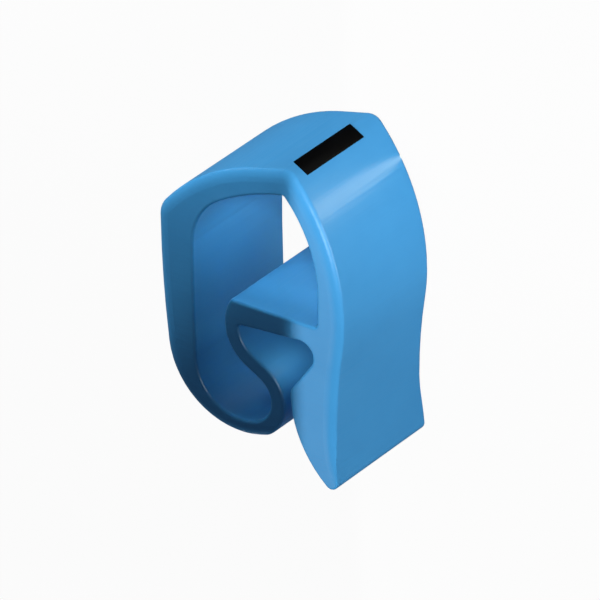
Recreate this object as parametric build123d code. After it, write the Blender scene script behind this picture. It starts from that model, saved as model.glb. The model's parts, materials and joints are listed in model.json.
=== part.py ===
from build123d import *
import os
from math import asin, cos, degrees, radians, sin, tan

# Slip-on cable marker: a short length of one soft PVC profile, cut square at both
# ends. The profile is drawn as seen from its front end, x across it and y up to the
# printed ridge. x = 0 is the inner face of the left wall, y = 0 the seat on which the
# cable lies. Sizes are in millimetres and angles in degrees.

# Cut length, and the chamber round the cable
length = 6.0
chamber_width = 5.73
chamber_height = 5.2
chamber_ridge_x = 4.17
chamber_ridge_radius = 0.15
chamber_shoulder_y = 3.2
chamber_shoulder_radius = 2.5
chamber_crown_rise = 0.29
chamber_belly_y = 1.3
chamber_corner_radius = 0.2

# Outer skin: left wall, crown, the nearly flat land before the ridge, right wall and leg
left_wall = 1.66
ridge_wall = 1.12
flank_wall = 1.11
shoulder_y = 2.97
shoulder_radius = 1.0
crown_rise = 0.47
land_run = 1.53
land_drop = 0.37
ridge_x = 4.43
ridge_radius = 0.6
belly_y = 0.25
belly_end_y = -0.9
belly_end_inset = 0.085
waist_y = -4.3
waist_inset = 0.325
tip_y = -7.17
tip_inset = 0.07
tip_radius = 0.3

# Strip across the loop, and the tongue that hangs from it and rolls into the foot
strip_wall = 1.0
strip_root = 0.7
strip_nose_radius = 0.18
tongue_wall = 0.66
tongue_slope = 30.0
tongue_run = 0.77
bend_radius = 1.25
pocket_neck = 1.43
pocket_radius = 1.05
pocket_heel_radius = 2.07
pocket_heel_turn = 20.0
pocket_lean = 3.0
foot_radius = 3.38
foot_turn = 16.0
wall_lean = 7.0

# Leg: the gap between it and the roll, its bump there and the notch above it
mouth_gap = 0.23
bump_y = -3.1
bump_radius = 0.5
notch_slope = 55.0
notch_radius = 0.6
cavity_corner_radius = 0.12

# Cut ends: each rolls over into the outer skin on a quarter ellipse, which fades out
# on the roll and towards the leg's tip. All other edges are slightly broken.
end_round_width = 0.5
end_round_depth = 0.28
overrun = 1.6
edge_break = 0.12


def polar(center, radius, angle):
    """The point that lies at a radius and an angle from a centre."""
    turn = radians(angle)
    return Vector(center.X + radius * cos(turn), center.Y + radius * sin(turn))


def rounded(sketch, corners):
    """The sketch with each named corner rounded to its radius."""
    for point, radius in corners:
        vertex = sketch.vertices().sort_by_distance(point)[0]
        sketch = fillet(vertex, radius)
    return sketch


# The bend hangs from the strip, the roll from the tongue, and the heel is round the roll
roll_radius = pocket_radius + tongue_wall
bend = Vector(pocket_neck + tongue_wall + bend_radius, -strip_wall)
tongue_start = polar(bend, bend_radius, 270 - tongue_slope)
tongue_end = polar(tongue_start, tongue_run, -tongue_slope)
roll = polar(tongue_end, roll_radius, 270 - tongue_slope)
heel = polar(roll, foot_radius - roll_radius, 90 + foot_turn)
pocket_heel = polar(roll, pocket_heel_radius - pocket_radius, 90 + pocket_heel_turn)

# Corners of the outer skin
belly_x = chamber_width + flank_wall
belly = Vector(belly_x, belly_y)
belly_end = Vector(belly_x - belly_end_inset, belly_end_y)
waist = Vector(belly_x - waist_inset, waist_y)
tip = Vector(belly_x - tip_inset, tip_y)
ridge = Vector(ridge_x, chamber_height + ridge_wall)
shoulder = Vector(-left_wall, shoulder_y)
land = ridge - Vector(land_run, land_drop)

# Corners of the leg, and of the cavity that the mouth opens into
cavity_corner = Vector(bend.X - bend_radius, -strip_wall)
bump = Vector(roll.X + roll_radius + mouth_gap, bump_y)
notch = Vector(bump.X - (bump_y + strip_root) / tan(radians(notch_slope)), -strip_root)

# Corners of the chamber
nose_turn = degrees(asin(strip_wall / (bend_radius + tongue_wall)))
nose = polar(bend, bend_radius + tongue_wall, 180 - nose_turn)
seat_corner = Vector(chamber_width, 0)
chamber_belly = Vector(chamber_width, chamber_belly_y)
chamber_ridge = Vector(chamber_ridge_x, chamber_height)
chamber_shoulder = Vector(0, chamber_shoulder_y)


def outer_skin(leg_end):
    """The line from the leg's end over the ridge and down the left wall to the foot."""
    lower_belly = TangentArc(belly, belly_end, tangent=(0, -1))
    waist_arc = TangentArc(belly_end, waist, tangent=lower_belly % 1)
    leg = TangentArc(waist, leg_end, tangent=waist_arc % 1)
    flank = TangentArc(belly, ridge, tangent=(0, 1))
    crown = SagittaArc(shoulder, land, crown_rise)
    ridge_land = TangentArc(land, ridge, tangent=crown % 1)
    foot = CenterArc(heel, foot_radius, 180 + wall_lean, 90 + foot_turn - wall_lean)
    wall_start = polar(heel, foot_radius, 180 + wall_lean)
    lean = radians(wall_lean)
    wall = TangentArc(wall_start, shoulder, tangent=(-sin(lean), cos(lean)))
    return leg + waist_arc + lower_belly + flank + ridge_land + crown + wall + foot


def mouth_side():
    """The line from the foot round the roll, up the tongue, and back down the leg."""
    rolled = CenterArc(roll, roll_radius, foot_turn - 90, 180 - tongue_slope - foot_turn)
    tongue = Line(tongue_end, tongue_start)
    bent = CenterArc(bend, bend_radius, 180, 90 - tongue_slope)
    underside = Line(cavity_corner, notch)
    web = Line(notch, bump)
    lead_in = TangentArc(bump, tip, tangent=(0, -1))
    return rolled + tongue + bent + underside + web + lead_in


def chamber():
    """The hollow that holds the cable, with the pocket that runs down beside the tongue."""
    seat = Line(nose, seat_corner)
    inner_wall = Line(seat_corner, chamber_belly)
    flank = TangentArc(chamber_belly, chamber_ridge, tangent=(0, 1))
    crown = SagittaArc(chamber_shoulder, chamber_ridge, chamber_crown_rise)
    heel_turn = 90 + pocket_heel_turn - pocket_lean
    heel_arc = CenterArc(pocket_heel, pocket_heel_radius, 180 + pocket_lean, heel_turn)
    wall_start = polar(pocket_heel, pocket_heel_radius, 180 + pocket_lean)
    lean = radians(pocket_lean)
    wall = TangentArc(wall_start, chamber_shoulder, tangent=(-sin(lean), cos(lean)))
    roll_arc = CenterArc(
        roll, pocket_radius, pocket_heel_turn - 90, 180 - tongue_slope - pocket_heel_turn
    )
    tongue = Line(
        polar(roll, pocket_radius, 90 - tongue_slope),
        polar(bend, bend_radius + tongue_wall, 270 - tongue_slope),
    )
    bent = CenterArc(bend, bend_radius + tongue_wall, 180 - nose_turn, 90 - tongue_slope + nose_turn)
    outline = seat + inner_wall + flank + crown + wall + heel_arc + roll_arc + tongue + bent
    corners = [
        (seat_corner, chamber_corner_radius),
        (nose, strip_nose_radius),
        (chamber_ridge, chamber_ridge_radius),
        (chamber_shoulder, chamber_shoulder_radius),
    ]
    return rounded(make_face(outline.edges()), corners)


def profile():
    """The whole cross-section of the marker."""
    outline = outer_skin(tip) + mouth_side()
    corners = [
        (ridge, ridge_radius),
        (shoulder, shoulder_radius),
        (tip, tip_radius),
        (cavity_corner, cavity_corner_radius),
        (notch, notch_radius),
        (bump, bump_radius),
    ]
    return rounded(make_face(outline.edges()), corners) - chamber()


def end_cutter(skin):
    """What is cut away above one end face so that it rounds over into the skin."""
    path = Pos(0, 0, length) * skin
    along = path % 0
    across = Plane(path @ 0, x_dir=(-along.Y, along.X, 0), z_dir=along)
    clear = end_round_depth
    rounding = EllipticalCenterArc(
        (-end_round_width, -end_round_depth), end_round_width, end_round_depth, arc_size=90
    )
    rest = Polyline(
        (-end_round_width, 0),
        (-end_round_width, clear),
        (clear, clear),
        (clear, -end_round_depth),
        (0, -end_round_depth),
    )
    return sweep(across * make_face(rounding.edges() + rest.edges()), path=path)


def rounding_path():
    """The outer skin, run on straight past the foot, and leaving the leg towards its tip."""
    path = Wire(outer_skin(tip + Vector(end_round_width, 0)).edges())
    for corner, radius in ((ridge, ridge_radius), (shoulder, shoulder_radius)):
        path = path.fillet_2d(radius, [path.vertices().sort_by_distance(corner)[0]])
    past_foot = Line((path @ 0) - (path % 0) * overrun, path @ 0)
    past_tip = Line(path @ 1, (path @ 1) + (path % 1) * overrun)
    return Wire(past_foot.edges() + path.edges() + past_tip.edges())


def marker_body():
    """The marker in its profile's own frame, its rear end on z = 0."""
    body = extrude(profile(), length)
    by_height = body.edges().group_by(Axis.Z)
    body = fillet(by_height[0] + by_height[-1], edge_break)
    front = end_cutter(rounding_path())
    rear = mirror(front, about=Plane.XY.offset(length / 2))
    return body - front - rear


# The marker lies on its rear end, with its printed side towards -Y and its left wall
# towards +X, and the origin is under the middle of its outline.
middle = profile().bounding_box().center()
marker = Rot(0, 0, 180) * Pos(-middle.X, -middle.Y, 0) * marker_body()

os.makedirs("parts", exist_ok=True)
export_step(marker, "parts/marker_body.step")
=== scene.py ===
import json
from math import cos, radians, sin

import bmesh
import bpy
from mathutils import Matrix, Vector

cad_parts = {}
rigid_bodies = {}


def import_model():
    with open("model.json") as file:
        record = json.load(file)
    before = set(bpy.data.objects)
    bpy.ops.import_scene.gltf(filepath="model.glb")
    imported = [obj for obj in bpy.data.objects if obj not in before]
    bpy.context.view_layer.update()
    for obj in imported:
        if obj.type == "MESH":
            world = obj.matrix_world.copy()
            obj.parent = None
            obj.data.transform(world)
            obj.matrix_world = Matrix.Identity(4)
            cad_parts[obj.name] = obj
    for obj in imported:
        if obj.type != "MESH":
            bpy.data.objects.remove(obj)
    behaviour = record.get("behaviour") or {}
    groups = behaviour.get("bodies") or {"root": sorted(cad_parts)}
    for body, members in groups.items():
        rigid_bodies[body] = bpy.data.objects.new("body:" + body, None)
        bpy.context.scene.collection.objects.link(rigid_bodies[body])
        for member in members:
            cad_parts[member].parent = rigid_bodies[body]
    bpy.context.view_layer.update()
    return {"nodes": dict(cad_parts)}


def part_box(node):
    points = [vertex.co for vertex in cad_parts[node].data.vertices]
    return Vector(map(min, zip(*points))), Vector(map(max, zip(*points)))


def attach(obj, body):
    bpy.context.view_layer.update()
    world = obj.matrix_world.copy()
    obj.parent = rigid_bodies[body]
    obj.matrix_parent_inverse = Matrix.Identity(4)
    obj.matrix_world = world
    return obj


for leftover in list(bpy.data.objects):
    bpy.data.objects.remove(leftover)

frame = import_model()
scene = bpy.context.scene
scene.view_settings.view_transform = "Standard"

# The marker lies on its rear end, with its printed side towards -Y and its leg's side
# towards -X. Places and sizes are in mm in its frame, and powers in watts.
MM = 0.001
body = frame["nodes"]["marker_body"]
front_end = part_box("marker_body")[1].z / MM

# The photograph's camera: how far it is turned and tilted from the profile's own front
# view, what it aims at on the front end, and how far it stands from there.
turn = radians(35.0)
tilt = radians(28.9)
camera_aim = (-2.378, -1.293, front_end)
camera_distance = 381
camera_right = Vector((-cos(turn), 0, -sin(turn)))
camera_up = Vector((sin(turn) * sin(tilt), -cos(tilt), -cos(turn) * sin(tilt)))
camera_back = camera_right.cross(camera_up)


def linear(hex_colour):
    """An sRGB hex colour as the linear RGBA that the shader sockets take."""
    channels = [int(hex_colour[i : i + 2], 16) / 255 for i in (1, 3, 5)]
    return [c / 12.92 if c <= 0.04045 else ((c + 0.055) / 1.055) ** 2.4 for c in channels] + [1.0]


def add_node(tree, kind, links=None, **settings):
    """A node with its settings. Links maps its input sockets to output sockets or values,
    by name, or by number where a node has several of one name."""
    node = tree.nodes.new(kind)
    for name, value in settings.items():
        setattr(node, name, value)
    for socket, source in (links or {}).items():
        if isinstance(source, bpy.types.NodeSocket):
            tree.links.new(source, node.inputs[socket])
        else:
            node.inputs[socket].default_value = source
    return node


def new_material(name):
    """A material with an empty node tree, and that tree."""
    material = bpy.data.materials.new(name)
    material.use_nodes = True
    material.node_tree.nodes.clear()
    return material, material.node_tree


def new_object(name, shape, material):
    """An object in the scene made from a bmesh, which is freed, with its material."""
    mesh = bpy.data.meshes.new(name)
    shape.to_mesh(mesh)
    shape.free()
    mesh.materials.append(material)
    made = bpy.data.objects.new(name, mesh)
    scene.collection.objects.link(made)
    return made


def soft_pvc():
    """Plasticised PVC, extruded: satin, with faint clouds of pigment, lines drawn along it
    by the die, and duller cut ends with drag marks where the knife went through. The real
    lines and marks are finer: here they are as coarse as they need to be to show."""
    line_spacing = 0.35 * MM
    mark_spacing = 0.22 * MM
    cloud_size = 1.6 * MM
    relief_depth = 0.04 * MM
    skin_roughness = (0.26, 0.34)
    rougher_end = 0.16
    material, tree = new_material("soft_pvc_extruded")
    place = add_node(tree, "ShaderNodeTexCoord").outputs["Object"]
    drawn = add_node(tree, "ShaderNodeMapping", {"Vector": place, "Scale": (1, 1, 0.02)})
    die_lines = add_node(
        tree, "ShaderNodeTexNoise",
        {"Vector": drawn.outputs[0], "Scale": 1 / line_spacing, "Detail": 3.0, "Roughness": 0.6},
    ).outputs["Fac"]
    dragged = add_node(
        tree, "ShaderNodeMapping",
        {"Vector": place, "Rotation": (0, 0, radians(20)), "Scale": (0.06, 1, 1)},
    )
    knife_marks = add_node(
        tree, "ShaderNodeTexNoise",
        {"Vector": dragged.outputs[0], "Scale": 1 / mark_spacing, "Detail": 4.0,
         "Roughness": 0.65},
    ).outputs["Fac"]
    pigment = add_node(
        tree, "ShaderNodeTexNoise", {"Vector": place, "Scale": 1 / cloud_size, "Detail": 2.0}
    ).outputs["Fac"]
    colour = add_node(
        tree, "ShaderNodeMix", {0: pigment, 6: linear("#3F95D0"), 7: linear("#459CD6")},
        data_type="RGBA",
    )
    facing = add_node(tree, "ShaderNodeNewGeometry").outputs["Normal"]
    upward = add_node(tree, "ShaderNodeSeparateXYZ", {0: facing}).outputs["Z"]
    flatness = add_node(tree, "ShaderNodeMath", {0: upward}, operation="ABSOLUTE")
    on_cut_end = add_node(
        tree, "ShaderNodeMapRange",
        {"Value": flatness.outputs[0], "From Min": 0.9, "From Max": 0.99},
        interpolation_type="SMOOTHSTEP",
    ).outputs[0]
    relief = add_node(
        tree, "ShaderNodeMix", {0: on_cut_end, 2: die_lines, 3: knife_marks}, data_type="FLOAT"
    ).outputs[0]
    bump = add_node(
        tree, "ShaderNodeBump", {"Height": relief, "Strength": 0.4, "Distance": relief_depth}
    )
    on_skin = add_node(
        tree, "ShaderNodeMapRange",
        {"Value": relief, "To Min": skin_roughness[0], "To Max": skin_roughness[1]},
    )
    roughness = add_node(
        tree, "ShaderNodeMath", {0: on_cut_end, 1: rougher_end, 2: on_skin.outputs[0]},
        operation="MULTIPLY_ADD",
    )
    shader = add_node(
        tree, "ShaderNodeBsdfPrincipled",
        {"Base Color": colour.outputs[2], "Roughness": roughness.outputs[0], "IOR": 1.5,
         "Normal": bump.outputs[0]},
    )
    add_node(tree, "ShaderNodeOutputMaterial", {"Surface": shader.outputs[0]})
    return material


def marking_ink():
    """Black marking ink: a thin printed film that dries almost matt. Its grain is drawn
    coarser than the real one, which is too fine to show."""
    grain_size = 0.15 * MM
    grain_depth = 0.005 * MM
    material, tree = new_material("marking_ink_black")
    place = add_node(tree, "ShaderNodeTexCoord").outputs["Object"]
    grain = add_node(tree, "ShaderNodeTexNoise", {"Vector": place, "Scale": 1 / grain_size})
    bump = add_node(
        tree, "ShaderNodeBump",
        {"Height": grain.outputs["Fac"], "Strength": 0.2, "Distance": grain_depth},
    )
    shader = add_node(
        tree, "ShaderNodeBsdfPrincipled",
        {"Base Color": linear("#030303"), "Roughness": 0.8, "IOR": 1.45,
         "Specular IOR Level": 0.15, "Normal": bump.outputs[0]},
    )
    add_node(tree, "ShaderNodeOutputMaterial", {"Surface": shader.outputs[0]})
    return material


def printed_bar():
    """The black bar on the ridge: a film of ink that follows the skin it is printed on. It
    is cut out of that skin by planes, those of its ends along the camera's line of sight,
    so that the ends look straight from there."""
    left, right = -1.44, -2.17
    rear, front = 1.54, 5.27
    ridge_y, below_crown = -6.7, -5.9
    end_line = Vector((-0.73, 0.42, 0))
    sunk, thickness = 0.01, 0.03
    end_normal = end_line.cross(camera_back)
    sides = (
        ((left, ridge_y, rear), -end_normal),
        ((left, ridge_y, front), end_normal),
        ((right, 0, 0), (-1, 0, 0)),
        ((left, 0, 0), (1, 0, 0)),
        ((0, below_crown, 0), (0, 1, 0)),
    )
    shape = bmesh.new()
    shape.from_mesh(body.data)
    bmesh.ops.remove_doubles(shape, verts=shape.verts, dist=0.001 * MM)
    for place, outwards in sides:
        bmesh.ops.bisect_plane(
            shape, geom=shape.verts[:] + shape.edges[:] + shape.faces[:],
            plane_co=Vector(place) * MM, plane_no=outwards, clear_outer=True,
        )
    shape.normal_update()
    for vertex in shape.verts:
        vertex.co -= vertex.normal * sunk * MM
    film = bmesh.ops.extrude_face_region(shape, geom=shape.faces[:], use_keep_orig=True)
    shape.normal_update()
    for vertex in film["geom"]:
        if isinstance(vertex, bmesh.types.BMVert):
            vertex.co += vertex.normal * thickness * MM
    bmesh.ops.recalc_face_normals(shape, faces=shape.faces)
    bar = new_object("printed_bar", shape, marking_ink())
    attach(bar, "root")


def lamp(name, place, target, size, power):
    """A soft box of a width and height that shines from a place towards a target."""
    light = bpy.data.lights.new(name, "AREA")
    light.shape = "RECTANGLE"
    light.size, light.size_y = (side * MM for side in size)
    light.energy = power
    holder = bpy.data.objects.new(name, light)
    away = (Vector(place) - Vector(target)).normalized()
    holder.location = Vector(place) * MM
    holder.rotation_euler = away.to_track_quat("Z", "Y").to_euler()
    holder.visible_camera = False
    scene.collection.objects.link(holder)
    return holder


def spot(name, away, aim, distance, cone, blend, radius, power):
    """A spot that shines on the front end's plane at aim, from a distance along away. Its
    cone is the full angle in radians, and its radius blurs the edge of its light."""
    light = bpy.data.lights.new(name, "SPOT")
    light.energy = power
    light.spot_size = cone
    light.spot_blend = blend
    light.shadow_soft_size = radius * MM
    holder = bpy.data.objects.new(name, light)
    away = Vector(away).normalized()
    holder.location = (Vector((*aim, front_end)) + away * distance) * MM
    holder.rotation_euler = away.to_track_quat("Z", "Y").to_euler()
    holder.visible_glossy = False
    scene.collection.objects.link(holder)
    return holder


def outer_lights():
    """Low strips light the skin from both sides and from the foot's side. They stay below
    the front end, which only the spots reach. Each of those is aimed past the marker, so
    that the edge of its cone crosses the front end: one lights the leg's side up to a soft
    edge, as in the photograph, one the left wall, and two the rest, less and less towards
    the foot."""
    lamp("right_strip", (-25, -6, 3.2), (-5, 0, 3.2), size=(12, 5), power=0.00213)
    left = lamp("left_strip", (19, -18, 6.0), (3, -3, 5), size=(12, 6), power=0.0034)
    foot = lamp("foot_strip", (6, 28, 2.4), (1, 5, 2.4), size=(18, 4), power=0.002)
    left.visible_glossy = foot.visible_glossy = False
    spot("leg_spot", (-0.1209, -0.1008, 0.9875), (-234.62, -12.34), distance=1500,
         cone=0.3, blend=0.001, radius=0.5, power=78)
    spot("wall_spot", (0.3001, -0.3501, 0.8873), (32.0, -25.07), distance=120,
         cone=0.5, blend=0.02, radius=1.2, power=0.2)
    spot("crown_spot", (-0.501, -0.3006, 0.8116), (-12.35, -32.79), distance=80,
         cone=0.6, blend=0.05, radius=2.6, power=0.125)
    spot("seat_spot", (0.0996, -0.747, 0.6573), (5.57, -58.77), distance=80,
         cone=0.6, blend=0.05, radius=5, power=0.14)


def hollow_lights():
    """The photograph's marker hangs in the open, so light also comes in through its rear
    end. Here it lies on that end, and small soft lamps in its hollows do the same. They
    are a little warm, to make up for the blue that the walls throw at each other."""
    warm_white = (1.0, 0.9, 0.8)
    hollows = (
        lamp("behind_chamber", (0.3, -0.5, 0.05), (0.3, -0.5, 3), (5.6, 8.5), 0.00007),
        lamp("inside_chamber", (-2.1, -4.7, 4.0), (1.3, -0.8, 4.5), (1.2, 3.6), 0.00024),
        lamp("inside_cavity", (-2.1, 1.1, 5.0), (-0.7, 2.8, 4.6), (0.6, 1.8), 0.00002),
        lamp("inside_pocket", (0.95, 1.9, 3.2), (2.2, 4.4, 3.2), (0.6, 4.4), 0.000014),
    )
    for hollow in hollows:
        hollow.data.color = warm_white
        hollow.visible_glossy = False


def gloss_lights():
    """Two lights are seen only as gloss, on the leg's side of the front end and its rim."""
    leg_gloss = spot(
        "leg_gloss", (0.5022, 0.4831, 0.7172), (-249.62, -64.81), distance=1500,
        cone=0.3, blend=0.001, radius=0.4, power=10.5,
    )
    rim_card = lamp("rim_card", (-20, -7, 23), (-3, -3, 6), size=(10, 10), power=0.0025)
    for gloss in (leg_gloss, rim_card):
        gloss.visible_glossy = True
        gloss.visible_diffuse = False


def highlight_card():
    """A lit wedge on the floor, which the flank reflects as one stripe along the marker."""
    corner = Vector((-2.6, -4.9, 0.03))
    reach = 9
    sides = (radians(12), radians(28))
    shape = bmesh.new()
    corners = [corner] + [corner - reach * Vector((cos(side), sin(side), 0)) for side in sides]
    shape.faces.new([shape.verts.new(point * MM) for point in corners])
    material, tree = new_material("lit_card")
    light = add_node(
        tree, "ShaderNodeEmission", {"Color": linear("#FFF7D3"), "Strength": 4.7}
    )
    add_node(tree, "ShaderNodeOutputMaterial", {"Surface": light.outputs[0]})
    card = new_object("highlight_card", shape, material)
    card.visible_camera = False
    card.visible_diffuse = False
    card.visible_shadow = False


def pale_world():
    """A world that is white to the camera and a dim, cool light to everything else."""
    world = bpy.data.worlds.new("world")
    scene.world = world
    world.use_nodes = True
    tree = world.node_tree
    tree.nodes.clear()
    seen = add_node(tree, "ShaderNodeLightPath").outputs["Is Camera Ray"]
    backdrop = add_node(tree, "ShaderNodeBackground", {"Color": (1, 1, 1, 1), "Strength": 1.0})
    ambient = add_node(
        tree, "ShaderNodeBackground", {"Color": (0.64, 0.78, 1.0, 1), "Strength": 0.1}
    )
    both = add_node(
        tree, "ShaderNodeMixShader", {0: seen, 1: ambient.outputs[0], 2: backdrop.outputs[0]}
    )
    add_node(tree, "ShaderNodeOutputWorld", {"Surface": both.outputs[0]})


def white_floor():
    """A grey floor that looks white to the camera, apart from a trace of the shadow. The
    photograph's marker hangs in the open, so its skin doesn't mirror the floor."""
    half_width = 2.0
    white_share = 0.96
    material, tree = new_material("white_floor")
    seen = add_node(tree, "ShaderNodeLightPath").outputs["Is Camera Ray"]
    share = add_node(
        tree, "ShaderNodeMapRange", {"Value": seen, "To Min": 0.0, "To Max": white_share}
    )
    paint = add_node(tree, "ShaderNodeBsdfDiffuse", {"Color": linear("#A0A0A0")})
    glow = add_node(tree, "ShaderNodeEmission", {"Color": (1, 1, 1, 1), "Strength": 1.0})
    mixed = add_node(
        tree, "ShaderNodeMixShader",
        {0: share.outputs[0], 1: paint.outputs[0], 2: glow.outputs[0]},
    )
    add_node(tree, "ShaderNodeOutputMaterial", {"Surface": mixed.outputs[0]})
    shape = bmesh.new()
    bmesh.ops.create_grid(shape, x_segments=1, y_segments=1, size=half_width)
    floor = new_object("floor", shape, material)
    floor.visible_glossy = False


def photo_camera():
    """The camera at the photograph's viewing angle."""
    lens = bpy.data.cameras.new("camera")
    lens.lens = 606
    lens.clip_start = 0.01
    lens.clip_end = 10
    camera = bpy.data.objects.new("camera", lens)
    placing = Matrix((camera_right, camera_up, camera_back)).transposed().to_4x4()
    placing.translation = (Vector(camera_aim) + camera_back * camera_distance) * MM
    camera.matrix_world = placing
    scene.collection.objects.link(camera)
    scene.camera = camera


body.data.materials.clear()
body.data.materials.append(soft_pvc())
printed_bar()
outer_lights()
hollow_lights()
gloss_lights()
highlight_card()
pale_world()
white_floor()
photo_camera()
